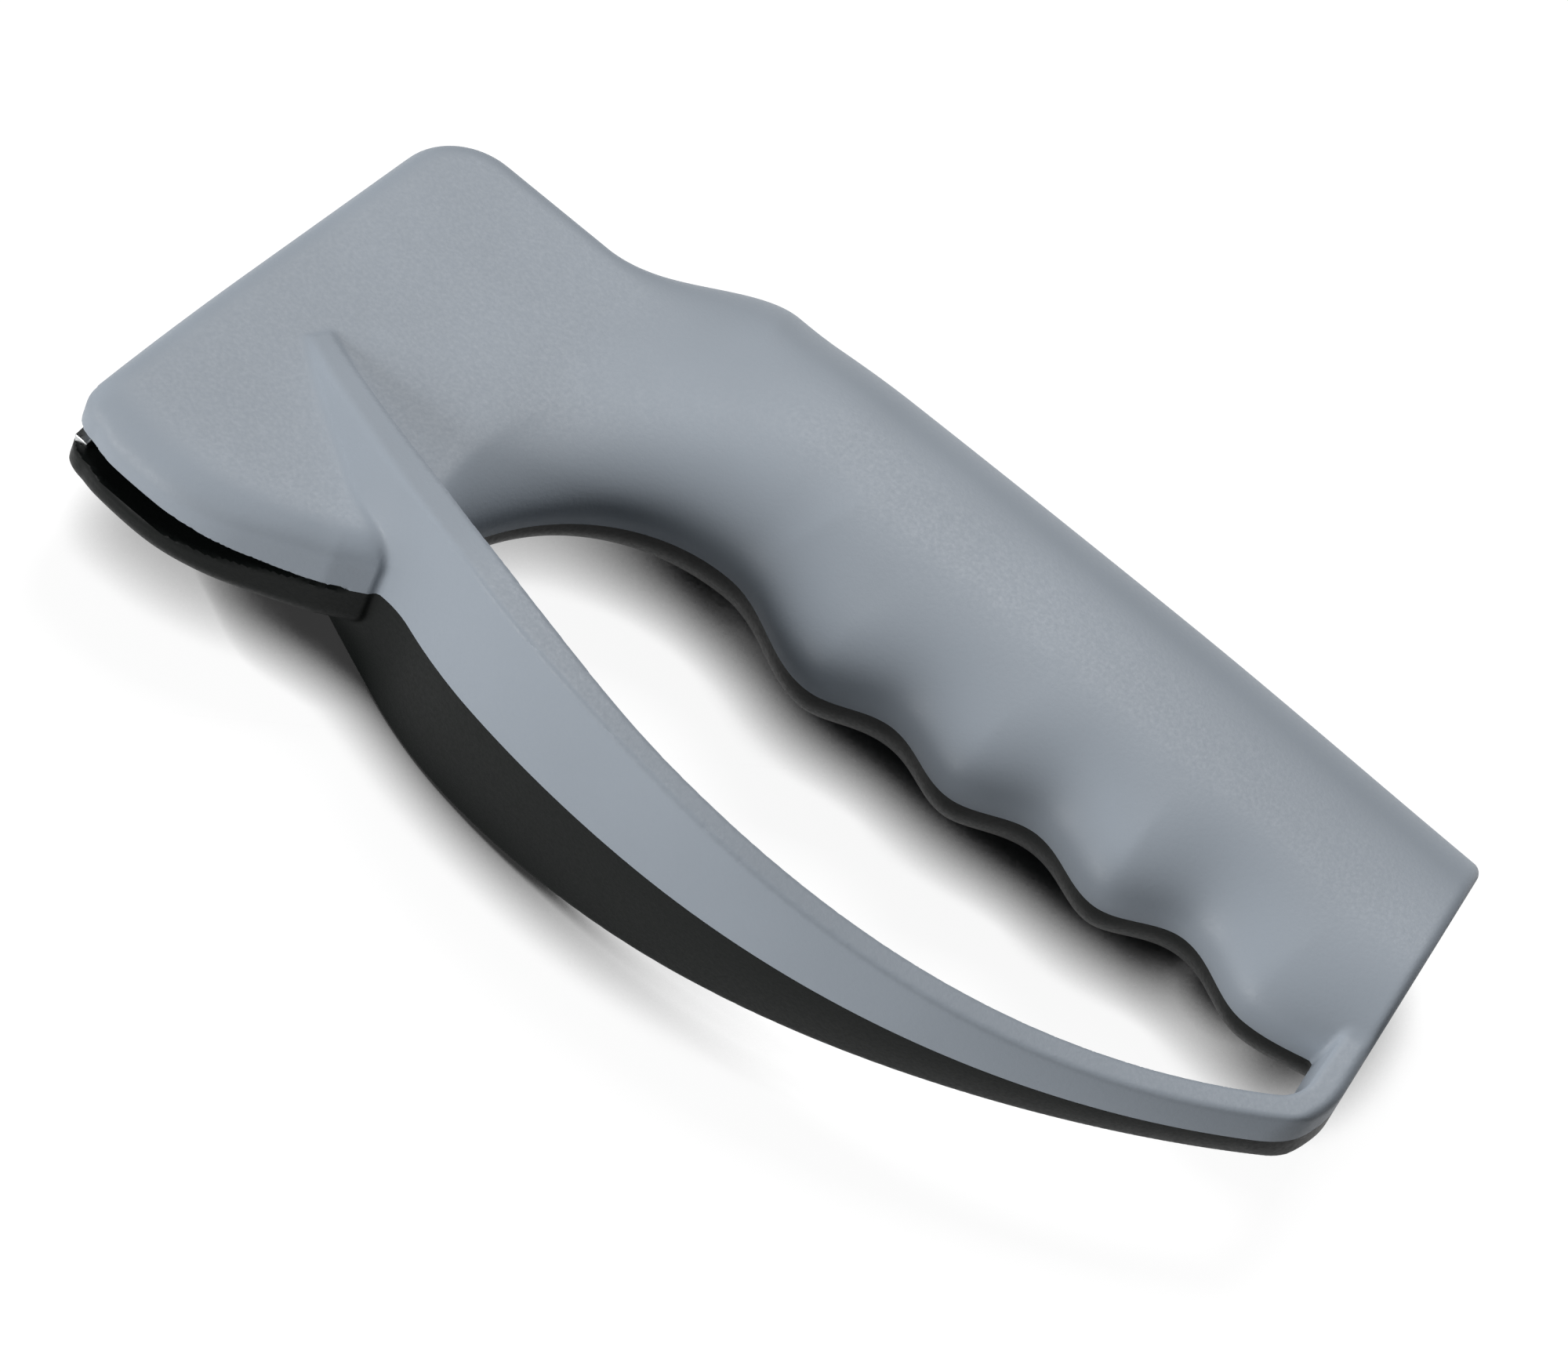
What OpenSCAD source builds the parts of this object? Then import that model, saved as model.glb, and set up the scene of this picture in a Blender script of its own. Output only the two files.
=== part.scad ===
// Pull-through knife sharpener with a moulded handle and a knuckle guard.
// Two mirrored half shells close on a flat parting plane. X runs along the grip
// from the head to the tail, Y across it towards the grip's back, and Z through
// the thickness. The sharpener rests on the edge of its guard and rear shell.
// Shapes are drawn about the parting plane, with the head's front at x = 0 and
// the grip's back near y = 0, and are moved to the bottom centre at the end.

/* [Head] */
// Length of the head, from its front to the root of the guard
head_l = 32.4; // [31:0.2:34]
// Width of the head, from its back edge to the lips of the knife slot
head_w = 62.7; // [60:0.5:66]
// Height of the head's flat face over the parting plane
head_h = 7; // [6.5:0.25:8]
// Radius of the head's top corner, seen from the side
head_corner_r = 8; // [5:0.5:11]
// Radius of the head's front and back edges
head_edge_r = 3; // [2.5:0.25:3.5]
// Distance over which the face rounds down to the lips
lip_round_l = 11; // [8:0.5:14]
// Length of the straight part of the lips
lip_straight_l = 14; // [13:0.2:16]
// Length of the lips' elliptic rise to the root of the guard
lip_curve_l = 20; // [19:0.5:22]
// Height of that rise
lip_curve_h = 13; // [11:0.5:14]
// Radius of the lips' front tip, seen from the side
lip_tip_r = 5; // [3:0.5:6]

/* [Grip] */
// Length of the body, from the head's front to the tail's back corner
body_l = 135.2; // [132:0.2:140]
// Height of the grip's spine over the parting plane
grip_h = 10.7; // [9.5:0.1:11.5]
// Height of the spine where the grip ends
tail_h = 9.6; // [8:0.2:11]
// Rise from the head's back edge to the grip's back
back_rise = 11.6; // [8:0.2:14]
// Bow of the grip's back
back_bow = 0.9; // [0:0.1:2]
// Width of the grip over its deepest finger rest
grip_w = 38; // [36:0.5:40]
// Height of the bumps between the finger rests
bump_h = 5; // [3:0.25:6]
// Reach of the rounded back side, from the back to the spine
back_round_l = 14; // [11:0.5:16]
// Lean of the flat tail end, in degrees from square
tail_lean = 10.2; // [5:0.2:14]
// Bevel round the tail end
tail_bevel = 1.2; // [0.6:0.1:2]

/* [Finger opening] */
// Half length of the elliptic arch for the index finger
arch_rx = 21.5; // [20:0.25:22.5]
// Height of that arch
arch_ry = 26.5; // [25:0.25:28]
// Radius of the round end of the opening at the tail
opening_end_r = 2.8; // [2.2:0.1:3.2]

/* [Guard] */
// Thickness of the guard plate towards the tail
guard_t = 3.6; // [3:0.1:4.2]
// Gain of that thickness at the root
guard_root_gain = 1; // [0.5:0.1:1.4]
// Half width of the guard at its root
guard_root_h = 14.5; // [12:0.5:16]
// Half width of the guard at its tail
guard_tail_h = 3.6; // [3:0.1:3.8]
// Crown of the guard's outer face
guard_crown = 0.7; // [0.3:0.1:1.1]
// Depth of the guard below the bumps where its long curve meets the tail end
guard_tail_gap = 3.8; // [3:0.1:5]
// Radius of its curve towards the head
guard_root_r = 126; // [110:2:140]
// Radius with which it turns up the head's face
ridge_r = 60; // [50:1:75]
// Angle of the ridge where that turn ends, in degrees from the grip
ridge_heading = 24; // [20:0.5:27]
// Radius of the ridge's slighter curve from there to its tip
ridge_end_r = 250; // [200:10:400]
// Depth of the guard's lowest point below the grip's back
guard_depth = 69; // [68:0.25:70.5]
// Radius of the guard's lower tail corner
tail_corner_r = 3; // [2:0.25:4]
// Half thickness of the leg that joins guard and grip
leg_h = 4.2; // [3.8:0.1:5]

/* [Shells] */
// Wall of the moulded shells
wall = 2.2; // [1.8:0.1:2.6]
// Gap of the knife slot between the lips
slot_gap = 4.4; // [4.2:0.1:4.8]
// Wall of each lip at the slot's mouth
lip_wall = 0.8; // [0.6:0.1:1.2]
// Depth of the slot's straight walls, from the lips inwards
slot_depth = 13; // [11:0.5:15]

/* [Cutters] */
// Thickness of a carbide cutter along the slot
cutter_t = 1.7; // [1.4:0.1:2]
// Width of a cutter across its edge
cutter_w = 2.4; // [2.2:0.1:2.8]
// Length of a cutter
cutter_l = 12; // [11:0.5:13]
// Lean of each cutter from the parting plane, in degrees
cutter_lean = 18; // [15:1:20]
// Depth of the point where the cutters cross, from the lips
cross_depth = 7; // [6:0.5:8]
// Distance of the first cutter behind the head's front
cutter_setback = 0.8; // [0.7:0.1:1.2]

/* [Fasteners] */
// Radius of a screw's shank
screw_r = 1.3; // [1.1:0.1:1.5]
// Length of a screw under its head
screw_l = 9; // [8:0.5:10]
// Radius of a screw's head
screw_head_r = 2.7; // [2.4:0.1:3]
// Height of a screw's head
screw_head_h = 1.8; // [1.4:0.1:2.2]
// Height of the screw seats over the parting plane
screw_seat_h = 3.8; // [3:0.2:4.4]
// Radius of a screw boss
boss_r = 3.9; // [3.6:0.1:4.4]
// Radius of a locating pin
pin_r = 1.6; // [1.3:0.1:2]
// Length of a locating pin past the parting plane
pin_l = 2.4; // [2:0.2:3]

/* [Hidden] */

// Clearance round a piece that is slid into its seat
fit_gap = 0.08;
// Clearance round a screw or a locating pin
hole_gap = 0.15;
// Overrun of every cut
overrun = 1;

// Lines that the outline follows, measured down from the grip's back
back_y = 0.6;
head_back_y = back_y - back_rise;
lip_y = head_back_y - head_w;
bump_y = back_y + back_bow - grip_w;
// Length over which the back rises behind the head, and how far ahead of the
// guard's root it starts
back_rise_l = 26;
back_rise_lead = 13;
back_rise_x = head_l - back_rise_lead;
// Middle and half length of the bow of the back, as shares of the grip's length
bow_middle_share = 0.535;
bow_half_share = 0.438;

// Finger rests and bumps along the grip, as shares of the run behind the arch
// and of the bumps' height
finger_shares = [
    [0, 1],
    [0.17, 0],
    [0.283, 0.7],
    [0.388, 0.2],
    [0.503, 0.97],
    [0.61, 0.45],
    [0.722, 1.32],
    [0.843, 0.62],
    [1, 1.15],
];
arch_setback = 25;
arch_x = head_l + arch_setback;
arch_y = bump_y + bump_h - arch_ry;
finger_run = body_l + tail_gain(bump_y) - arch_x;

// Sides of the shells: where the spine starts to rise and stops, and how high
// the walls stand at the parting plane before they round over
spine_lead = 5;
spine_x = head_l - spine_lead;
spine_rise_l = 30;
edge_h = 1;
lip_h = slot_gap / 2 + lip_wall;
crest_lead = 11;
crest_x = head_l - crest_lead;
crest_l = 26;
// Width of the flat along the spine
spine_flat = 3;
tail_ease_l = 40;

// Places of the guard's lowest point, of the join of its two curves and of its
// full height, measured behind the head, and of the ridge's tip ahead of there
guard_low_setback = 40.8;
ridge_join_setback = 19;
guard_flat_setback = 10;
ridge_tip_lead = 22.5;
guard_low_x = head_l + guard_low_setback;
guard_low_y = -guard_depth;
ridge_join_x = head_l + ridge_join_setback;
guard_flat_x = head_l + guard_flat_setback;
ridge_tip_x = head_l - ridge_tip_lead;
ridge_tip_h = head_h - wall / 4;
guard_taper_l = 96;
guard_reach = 4;
guard_end_x = body_l + guard_reach;
guard_edge_r = 0.5;
// Long curve of the guard, from its lowest point to a set depth on the tail end
guard_tail_y = bump_y - guard_tail_gap;
guard_run = body_l + tail_gain(guard_tail_y) - guard_low_x;
guard_climb = guard_tail_y - guard_low_y;
guard_tail_r = (guard_run * guard_run + guard_climb * guard_climb) / (2 * guard_climb);
// Slope of the ridge's outer face, its height, and the taper of the ridge's
// thickness, with the length over which the slope fades into the guard
ridge_slope_share = 0.27;
ridge_face_h = 8;
ridge_taper_share = 0.06;
root_gain_x = arch_x - guard_flat_setback;
root_gain_l = 25;
ridge_fade_l = 16;
ridge_fade_x = head_l - spine_lead;
// Round end of the finger opening
opening_shift = 0.3;
opening_end = [body_l + opening_shift, bump_y + opening_shift];

// Cutters: crossing point, and the block that holds their upper halves
cross_y = lip_y + cross_depth;
cutter_block_wall = 1.2;
cutter_block_l = cutter_setback / 2 + 2 * cutter_t + 2 * fit_gap + cutter_block_wall;
cutter_block_y = cross_y + cutter_block_wall;
cutter_block_w = 9;
lower_share = 0.45;

// Screw and locating pin places on the parting plane
screw_places = [
    [head_l * 0.42, head_back_y - boss_r - 2 * wall],
    [arch_x + arch_rx * 0.14, back_y - grip_w * 0.447],
    [mix(arch_x, body_l, 0.843), back_y - grip_w * 0.532]
];
pin_places = [
    [head_l * 0.36, lip_y + slot_depth * 1.62],
    [arch_x + finger_run * 0.42, back_y - grip_w / 2]
];

// Steps round a curved side, along the arch, and round small circles
side_steps = 7;
inner_steps = 4;
arch_steps = 9;
$fn = 40;

// Smooth step from 0 to 1
function ease(t) = (1 - cos(180 * min(max(t, 0), 1))) / 2;
function mix(a, b, t) = a + (b - a) * t;
// Height that is left d inside the start of a round of radius r
function round_drop(d, r) = d < r ? sqrt(r * r - (r - d) * (r - d)) - r : 0;

// How far a point at depth y lies behind the tail's back corner
function tail_gain(y) = -y * tan(tail_lean);

// Finger side of the grip: bumps and rests joined by half waves
function finger_y(x) =
    let (
        s = min(max((x - arch_x) / finger_run, 0), 0.9999),
        i = max([for (k = [0 : len(finger_shares) - 2]) if (finger_shares[k][0] <= s) k]),
        a = finger_shares[i],
        b = finger_shares[i + 1]
    )
    bump_y + bump_h * mix(a[1], b[1], ease((s - a[0]) / (b[0] - a[0])));

// Rise of the lips at x, a quarter of an ellipse
function lip_climb(x) =
    let (u = min(max((x - lip_straight_l) / lip_curve_l, 0), 1))
    lip_curve_h * (1 - sqrt(1 - u * u));

// Lower outline of the body at x, moved inwards by inset
function low_y(x, inset = 0) =
    x < arch_x - arch_rx - inset
        ? lip_y + lip_climb(x) + inset - round_drop(x - inset, lip_tip_r)
        : x < arch_x
            ? arch_y + (arch_ry + inset) * sqrt(1 - pow((arch_x - x) / (arch_rx + inset), 2))
            : finger_y(x) + inset;

// Back outline of the body at x, moved inwards by inset
function high_y(x, inset = 0) =
    let (bow_s = ((x - head_l) / (body_l - head_l) - bow_middle_share) / bow_half_share)
    head_back_y - inset + round_drop(x - inset, head_corner_r - inset)
        + back_rise * ease((x - back_rise_x) / back_rise_l)
        + back_bow * ease((x - back_rise_x) / back_rise_l) * (1 - bow_s * bow_s);

// Height of the spine at x
function spine_h(x, inset = 0) =
    mix(head_h, grip_h, ease((x - spine_x) / spine_rise_l))
        - (grip_h - tail_h) * ease((x - body_l + tail_ease_l) / tail_ease_l)
        - inset + round_drop(x - inset, max(head_edge_r - inset, 0.5 * edge_h));

// One cross-section of the body, leant back towards the tail end
function body_ring(x, inset, steps, base) =
    let (
        t = ease((x - crest_x) / crest_l),
        lean = tan(tail_lean) * ease((x - body_l + tail_ease_l) / tail_ease_l),
        low = low_y(x - lean * bump_y, inset),
        high = high_y(x, inset),
        top = spine_h(x, inset),
        crest = mix(max(lip_y + lip_round_l, low + head_edge_r), high - back_round_l - spine_flat, t),
        low_l = crest - low,
        high_l = mix(head_edge_r, back_round_l, t),
        low_edge = min(mix(lip_h, edge_h, ease((x - lip_straight_l) / (head_l - lip_straight_l))), top / 2),
        high_edge = mix(top - head_edge_r, edge_h, t)
    )
    [for (p = concat(
        [[low, base]],
        [for (k = [0 : steps])
            [low + low_l * (1 - cos(90 * k / steps)), mix(low_edge, top, sin(90 * k / steps))]],
        [for (k = [steps : -1 : 0])
            [high - high_l * (1 - cos(90 * k / steps)), mix(high_edge, top, sin(90 * k / steps))]],
        [[high, base]]
    )) [x - lean * p[0], p[0], p[1]]];

// Closed solid through rings that have the same number of points
module loft(rings) {
    m = len(rings[0]);
    last = len(rings) - 1;
    points = [for (ring = rings) each ring];
    sides = [for (i = [0 : last - 1]) for (j = [0 : m - 1])
        let (a = i * m + j, b = i * m + (j + 1) % m)
        each [[a, b, b + m], [a, b + m, a + m]]];
    first_cap = [for (j = [m - 1 : -1 : 0]) j];
    last_cap = [for (j = [0 : m - 1]) last * m + j];
    polyhedron(points, concat([first_cap, last_cap], sides), convexity = 8);
}

// Stations along the body: front edge, head, arch, finger rests and tail
body_stations = concat(
    [for (a = [0 : 22.5 : 89]) head_edge_r * (1 - cos(a))],
    [for (k = [0 : 8]) mix(head_edge_r, head_l, sin(90 * k / 8))],
    [for (k = [0 : arch_steps]) arch_x - arch_rx * cos(90 * k / arch_steps)],
    [for (k = [1 : 24]) mix(arch_x, body_l - tail_bevel, k / 24)]
);

// Stations along the hollow
cavity_stations = concat(
    [for (k = [0 : 4]) mix(wall, head_l - wall, k / 4)],
    [for (k = [1 : arch_steps - 2])
        arch_x - (arch_rx + wall) * cos(90 * k / (arch_steps - 2))],
    [for (k = [1 : 14]) mix(arch_x, body_l - wall, k / 14)]
);

// Outer skin of half the handle
module body() {
    loft(concat(
        [for (x = body_stations) body_ring(x, 0, side_steps, 0)],
        [body_ring(body_l, tail_bevel, side_steps, 0)]
    ));
}

// Hollow of half the handle
module cavity() {
    loft([for (x = cavity_stations) body_ring(x, wall, inner_steps, -overrun)]);
}

// Station on a curve of the guard: place on the parting plane and heading
function arc_station(centre, r, heading) =
    [centre[0] + r * sin(heading), centre[1] - r * cos(heading), heading];

// Station on the ridge, a distance past its turn towards the tip
function ridge_station(run) =
    let (turned = (run / ridge_end_r) * 180 / PI)
    arc_station(
        [ridge_start[0] + ridge_end_r * sin(ridge_heading), ridge_start[1] + ridge_end_r * cos(ridge_heading)],
        ridge_end_r, -ridge_heading - turned
    );

guard_tail_centre = [guard_low_x, guard_low_y + guard_tail_r];
guard_root_centre = [guard_low_x, guard_low_y + guard_root_r];
join_heading = -asin((guard_low_x - ridge_join_x) / guard_root_r);
ridge_centre = [
    ridge_join_x - ridge_r * sin(join_heading),
    guard_root_centre[1] - (guard_root_r - ridge_r) * cos(join_heading)
];
ridge_start = arc_station(ridge_centre, ridge_r, -ridge_heading);
ridge_run = (ridge_start[0] - ridge_tip_x) / cos(ridge_heading);
tail_heading = asin((guard_end_x - guard_low_x) / guard_tail_r);

// The guard's path, from the tip of the ridge on the head to the tail
guard_path = concat(
    [for (k = [0 : 5]) ridge_station(ridge_run * (1 - k / 6))],
    [for (k = [0 : 5]) arc_station(ridge_centre, ridge_r, mix(-ridge_heading, join_heading, k / 6))],
    [for (k = [0 : 3]) arc_station(guard_root_centre, guard_root_r, mix(join_heading, 0, k / 4))],
    [for (k = [0 : 13]) arc_station(guard_tail_centre, guard_tail_r, mix(0, tail_heading, k / 13))]
);

// Half width of the guard at x: a straight ramp up the head, then a long taper
function guard_h(x) = x < guard_flat_x
    ? mix(ridge_tip_h, guard_root_h, (x - ridge_tip_x) / (guard_flat_x - ridge_tip_x))
    : mix(guard_root_h, guard_tail_h, ease((x - guard_flat_x) / guard_taper_l));

// Cross-section of the guard at a station: crowned outside, flat on the edge. On
// the head its outer face slopes outwards and it grows thinner towards the tip.
function guard_ring(station) =
    let (
        x = station[0],
        h = guard_h(x),
        t = guard_t + guard_root_gain * (1 - ease((x - root_gain_x) / root_gain_l))
            - ridge_taper_share * max(head_l - x, 0),
        slope = ridge_slope_share * (1 - ease((x - ridge_fade_x) / ridge_fade_l)),
        inward = [-sin(station[2]), cos(station[2])]
    )
    [for (p = [
        [-slope * min(h, ridge_face_h), 0],
        [guard_crown / 4 - slope * min(h / 2, ridge_face_h), h / 2],
        [guard_crown * 0.7 - slope * h * 0.15, h * 0.85],
        [guard_crown, h - guard_edge_r / 2],
        [guard_crown + guard_edge_r / 2, h],
        [t - guard_edge_r, h],
        [t, h - guard_edge_r],
        [t + guard_edge_r, 0]
    ]) [x + inward[0] * p[0], station[1] + inward[1] * p[0], p[1]]];

// Half of the guard plate, with the ridge that carries it up the head's face
module guard() {
    loft([for (station = guard_path) guard_ring(station)]);
}

// Point on the flat tail end at depth y
function tail_point(y) = [body_l + tail_gain(y), y];

// Centre of the guard's lower tail corner, touching the guard and the tail end
function corner_gap(y) =
    norm([body_l + tail_gain(y) - tail_corner_r / cos(tail_lean) - guard_low_x, y - guard_tail_centre[1]])
        - (guard_tail_r - tail_corner_r);
function corner_y(low, high, steps) =
    let (middle = (low + high) / 2)
    steps == 0 ? middle
        : corner_gap(middle) > 0 ? corner_y(middle, high, steps - 1) : corner_y(low, middle, steps - 1);
tail_corner_y = corner_y(-guard_depth, bump_y, 24);
tail_corner = [body_l + tail_gain(tail_corner_y) - tail_corner_r / cos(tail_lean), tail_corner_y];
corner_start = atan2(tail_corner[1] - guard_tail_centre[1], tail_corner[0] - guard_low_x);

// Point of the guard's tail curve at a radius and a heading
function guard_point(r, heading) = guard_tail_centre + r * [sin(heading), -cos(heading)];

// Half of the leg that joins the guard to the end of the grip
module tail_leg() {
    leg_heading = asin((opening_end[0] + opening_end_r / 4 - guard_low_x) / guard_tail_r);
    linear_extrude(leg_h) polygon(concat(
        [guard_point(guard_tail_r - guard_t, leg_heading)],
        [for (k = [0 : 2])
            guard_point(guard_tail_r, mix(leg_heading, corner_start + 90, k / 3))],
        [for (k = [0 : 6])
            let (angle = mix(corner_start, tail_lean, k / 6))
            tail_corner + tail_corner_r * [cos(angle), sin(angle)]],
        [tail_point(bump_y + 2 * opening_end_r) - [tail_bevel, 0],
         [opening_end[0], bump_y + 2 * opening_end_r]],
        [for (a = [80 : -20 : -60]) opening_end + opening_end_r * [cos(a), sin(a)]]
    ));
}

// Straight-sided knife slot, drawn in from both lips of one half. It narrows to
// nothing where the lips meet at the root of the guard.
module knife_slot() {
    half = slot_gap / 2;
    translate([0, lip_y + slot_depth, 0]) rotate([90, 0, 0])
        linear_extrude(slot_depth + overrun) polygon(concat(
            [[-overrun, -overrun], [-overrun, half]],
            [for (k = [0 : 6]) [mix(lip_straight_l, head_l, k / 6), half * (1 - ease(k / 6))]],
            [[head_l, -overrun]]
        ));
}

// One carbide bar with its lower end spread to the side given by side
module cutter_bar(side, gap) {
    translate([cutter_setback + (side < 0 ? 0 : cutter_t + fit_gap) - gap, cross_y, 0])
        rotate([side * cutter_lean, 0, 0])
        translate([0, -cutter_l * lower_share - gap, -cutter_w / 2 - gap])
        cube([cutter_t + 2 * gap, cutter_l + 2 * gap, cutter_w + 2 * gap]);
}

// Cylinder that stands on the parting plane and ends inside the shell's roof
module post(place, r) {
    translate([place[0], place[1], 0])
        cylinder(r = r, h = spine_h(place[0]) - wall / 2);
}

// What both shells have in common
module half_shell() {
    difference() {
        body();
        cavity();
        knife_slot();
    }
    guard();
    tail_leg();
    for (place = screw_places) post(place, boss_r);
    for (place = pin_places) post(place, pin_r + wall / 2);
    translate([cutter_setback / 2, cutter_block_y, 0])
        cube([cutter_block_l, cutter_block_w, head_h - wall * 0.8]);
}

// Grey shell, with blind pilot holes for the screws and the locating pins
module front_shell() {
    color("#9DA4AA") {
        difference() {
            half_shell();
            cutter_bar(-1, fit_gap);
            cutter_bar(1, fit_gap);
            for (place = screw_places)
                translate([place[0], place[1], -overrun])
                    cylinder(r = screw_r + fit_gap, h = overrun + screw_l - screw_seat_h + hole_gap);
        }
        for (place = pin_places)
            translate([place[0], place[1], -pin_l])
                cylinder(r = pin_r, h = pin_l + wall);
    }
}

// Black shell, with recessed seats for the screws and sockets for the pins
module rear_shell() {
    color("#1A1D1C") difference() {
        mirror([0, 0, 1]) half_shell();
        cutter_bar(-1, fit_gap);
        cutter_bar(1, fit_gap);
        for (place = screw_places) translate([place[0], place[1], 0]) {
            translate([0, 0, -screw_seat_h - overrun])
                cylinder(r = screw_r + hole_gap, h = screw_seat_h + 2 * overrun);
            translate([0, 0, -grip_h - overrun])
                cylinder(r = screw_head_r + hole_gap, h = grip_h + overrun - screw_seat_h);
        }
        for (place = pin_places)
            translate([place[0], place[1], -pin_l - hole_gap])
                cylinder(r = pin_r + hole_gap, h = pin_l + hole_gap + overrun);
    }
}

// Carbide bar whose cutting edge leans towards the rear shell
module front_cutter() {
    color("#B9BCBE") cutter_bar(-1, 0);
}

// Carbide bar behind it, leaning towards the front shell
module rear_cutter() {
    color("#B9BCBE") cutter_bar(1, 0);
}

// Self-tapping screws, driven from the rear shell into the front shell's bosses
module shell_screws() {
    socket_r = screw_head_r * 0.45;
    color("#8B8D8F") for (place = screw_places) translate([place[0], place[1], -screw_seat_h])
        difference() {
            union() {
                cylinder(r = screw_r, h = screw_l);
                translate([0, 0, -screw_head_h]) cylinder(r = screw_head_r, h = screw_head_h);
            }
            translate([0, 0, -screw_head_h - overrun])
                cylinder(r = socket_r, h = overrun + screw_head_h / 2, $fn = 6);
        }
}

// Centre of the part's box on the parting plane, and half its thickness
part_l = tail_corner[0] + tail_corner_r;
part_centre = [part_l / 2, (lip_y + back_y + back_bow) / 2];

module place_part() {
    translate([-part_centre[0], -part_centre[1], guard_root_h]) children();
}

place_part() front_shell();
place_part() rear_shell();
place_part() front_cutter();
place_part() rear_cutter();
place_part() shell_screws();
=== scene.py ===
"""Looks of a pull-through knife sharpener: two moulded half shells, a pair of
crossed carbide cutters and the screws that hold the shells together.

Sizes in millimetres follow the part's own plan: X runs from the front of the
head along the grip, Y up towards the grip's back, and Z out of the parting plane
towards the grey shell. Each finished mesh is moved into the frame, in metres."""

import math

import bmesh
import bpy
import numpy as np
from bpy.props import FloatProperty, FloatVectorProperty, IntProperty, PointerProperty
from mathutils import Matrix, Vector


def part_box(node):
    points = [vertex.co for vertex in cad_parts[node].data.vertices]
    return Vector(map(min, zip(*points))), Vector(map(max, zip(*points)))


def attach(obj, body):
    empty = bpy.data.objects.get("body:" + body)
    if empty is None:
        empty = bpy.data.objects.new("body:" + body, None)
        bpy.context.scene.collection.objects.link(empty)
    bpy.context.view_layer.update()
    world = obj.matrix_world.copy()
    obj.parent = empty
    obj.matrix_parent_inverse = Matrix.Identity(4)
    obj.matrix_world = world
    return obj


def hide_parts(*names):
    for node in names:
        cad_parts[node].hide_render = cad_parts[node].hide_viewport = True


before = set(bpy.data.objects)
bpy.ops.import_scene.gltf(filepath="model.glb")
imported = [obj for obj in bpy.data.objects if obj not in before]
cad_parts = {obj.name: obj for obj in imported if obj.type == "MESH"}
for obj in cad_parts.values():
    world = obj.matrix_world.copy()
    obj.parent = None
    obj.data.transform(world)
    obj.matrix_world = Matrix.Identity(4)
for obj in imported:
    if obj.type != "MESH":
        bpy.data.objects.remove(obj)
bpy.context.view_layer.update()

bl_info = {
    "name": "Knife sharpener looks",
    "version": (1, 0, 0),
    "blender": (4, 5, 0),
    "location": "View3D > Sidebar > Sharpener",
    "description": "Builds the shells, cutters, screws and studio of a hand-held knife sharpener",
    "category": "Object",
}

MM = 0.001
ROOT = "root"

# Place of the plan's origin in the frame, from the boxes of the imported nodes
SHELL_LOW = Vector(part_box("front_shell")[0]) / MM
PARTING_Z = (Vector(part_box("rear_shell")[1]) / MM).z
HEAD_FRONT = 0.6
PLAN_X = SHELL_LOW.x - HEAD_FRONT
LIP_Y = -73.7
PLAN_Y = SHELL_LOW.y - LIP_Y


def hex_linear(code):
    """Linear RGBA of an sRGB hex colour."""
    parts = [int(code[i : i + 2], 16) / 255 for i in (1, 3, 5)]
    linear = [v / 12.92 if v <= 0.04045 else ((v + 0.055) / 1.055) ** 2.4 for v in parts]
    return (*linear, 1.0)


def ease(t):
    """Smooth step from 0 to 1."""
    return (1 - np.cos(np.pi * np.clip(t, 0, 1))) / 2


def mix(a, b, t):
    """Value between a and b at share t."""
    return a + (b - a) * t


def fade(x, stretch):
    """Smooth step from 0 to 1 over a stretch, given by its start and its length."""
    start, length = stretch
    return ease((x - start) / length)


def join_round(a, b, r):
    """Union of two distances with a fillet of radius r."""
    return np.maximum(r, np.minimum(a, b)) - np.hypot(np.maximum(r - a, 0), np.maximum(r - b, 0))


def meet_round(a, b, r):
    """Intersection of two distances with a rounded edge of radius r."""
    return np.minimum(-r, np.maximum(a, b)) + np.hypot(np.maximum(r + a, 0), np.maximum(r + b, 0))


# Each pair that is named as a fade is the start and the length, along the part,
# of the stretch over which one form turns into the next.

# Head, with its two lips and their root at the guard
HEAD_L = 33.0
HEAD_H = 7.0
HEAD_BACK_Y = -11.0
HEAD_CORNER_R = 8.0
HEAD_EDGE_R = 3.0
FRONT_BOW = 0.6
FRONT_BOW_Y = -46.0
FRONT_BOW_L = 26.0
LIP_TIP_R = 3.2
LIP_STRAIGHT_L = 12.5
LIP_BOW = 0.5
LIP_BOW_R = 55.0
LIP_CURVE_R = 22.0
LIP_TURN = math.radians(29)
ROOT_CURVE_R = 4.0
ROOT_L = 4.2
ROOT_TURN = math.radians(38)
LIP_ROOT_X = 35.2
LIP_ROUND_L = 7.5
SLOT_HALF = 1.6
LIP_H = 3.0
ROOT_H = 3.6
ROOT_ROUND_L = 6.0
ROOT_FADE = (18.0, 10.0)
SLOT_DEPTH = 13.0
SLOT_EDGE_R = 0.35
BLOCK_END_X = 6.2
BLOCK_RISE = 5.7
BLOCK_HALF_W = 4.5

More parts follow.
